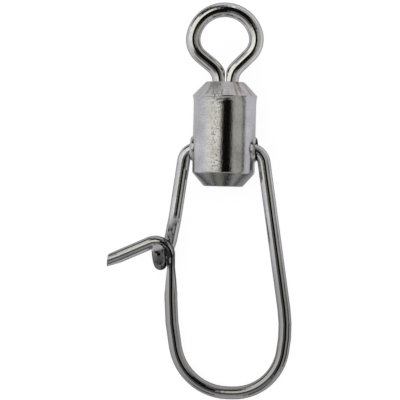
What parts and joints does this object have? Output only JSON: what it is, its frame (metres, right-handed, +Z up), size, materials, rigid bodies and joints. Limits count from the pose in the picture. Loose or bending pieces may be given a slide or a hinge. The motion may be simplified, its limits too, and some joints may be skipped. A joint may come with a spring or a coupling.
{
  "type": "snap swivel",
  "caption": "Metal snap swivel: a barrel with a spinning line eye and a one-wire snap loop that locks with a crook, arch and lever.",
  "frame": {"origin": "middle of the line eye", "axes": "+Y along the swivel from the snap's bow to the line eye, +X across the snap away from the latch, +Z up from the ground it lies on"},
  "size_m": [0.0231, 0.049, 0.008],
  "materials": {
    "barrel_metal": "bright dark nickel plate",
    "eye_metal": "bright dark nickel plate",
    "snap_metal": "dark nickel plate, a little matt on the bow"
  },
  "bodies": {
    "barrel": {"barrel": "barrel_metal"},
    "line_eye": {"line_eye": "eye_metal"},
    "snap_wire": {"snap_wire": "snap_metal"}
  },
  "joints": [
    {"name": "eye_spin", "type": "hinge", "parent": "barrel", "child": "line_eye", "pos_m": [0.00019, -0.01321, 0], "axis": [0, 1, 0], "continuous": true},
    {"name": "snap_swing", "type": "hinge", "parent": "barrel", "child": "snap_wire", "pos_m": [0.00019, -0.01321, 0], "axis": [1, 0, 0], "continuous": true}
  ]
}
